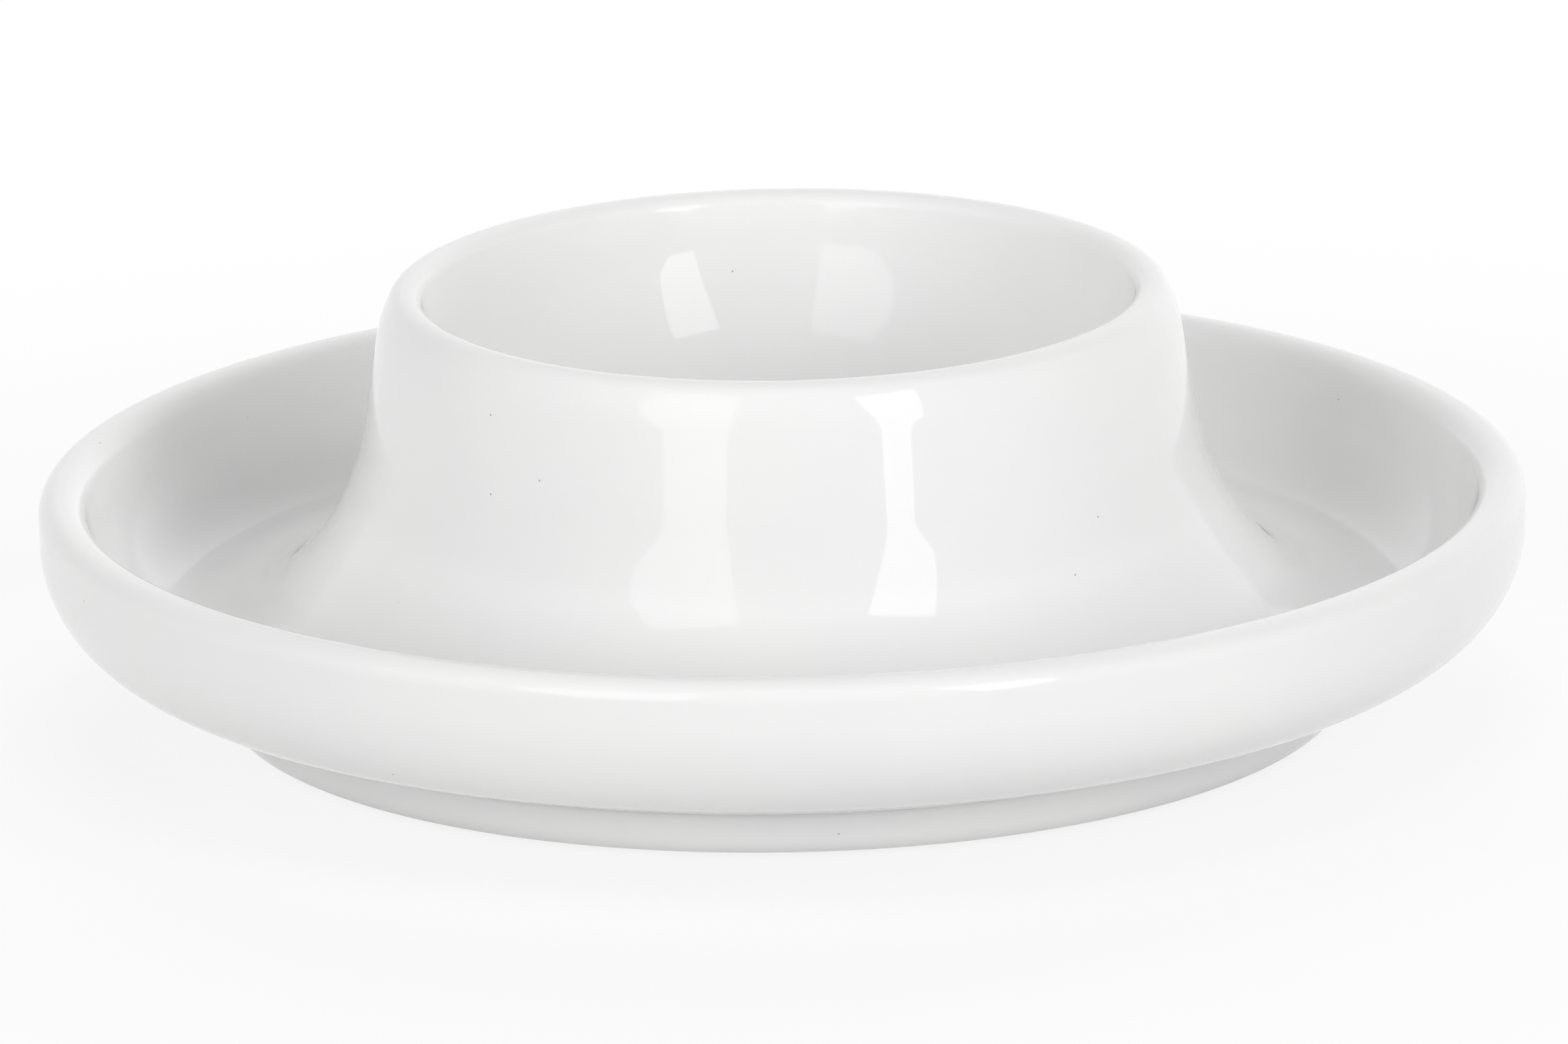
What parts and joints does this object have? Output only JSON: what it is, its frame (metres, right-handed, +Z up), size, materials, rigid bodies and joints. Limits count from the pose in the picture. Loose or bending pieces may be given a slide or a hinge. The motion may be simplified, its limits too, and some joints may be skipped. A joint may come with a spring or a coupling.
{
  "type": "egg cup",
  "caption": "Porcelain egg cup with a tray all round: a flared cup rises from a shallow dish with a thick rolled rim, on a low foot ring.",
  "frame": {"origin": "centre of the foot ring, on the plane that the cup stands on", "axes": "+Z up along the turning axis, out of the egg well; +X and +Y are free, because the cup is a solid of revolution"},
  "size_m": [0.1, 0.1, 0.0287],
  "materials": {
    "bare_porcelain": "unglazed, ground smooth, matte",
    "white_glaze": "clear glaze over white porcelain, high gloss"
  },
  "bodies": {
    "root": {"porcelain_body": "bare_porcelain", "outer_glaze": "white_glaze", "underside_glaze": "white_glaze"}
  },
  "joints": []
}
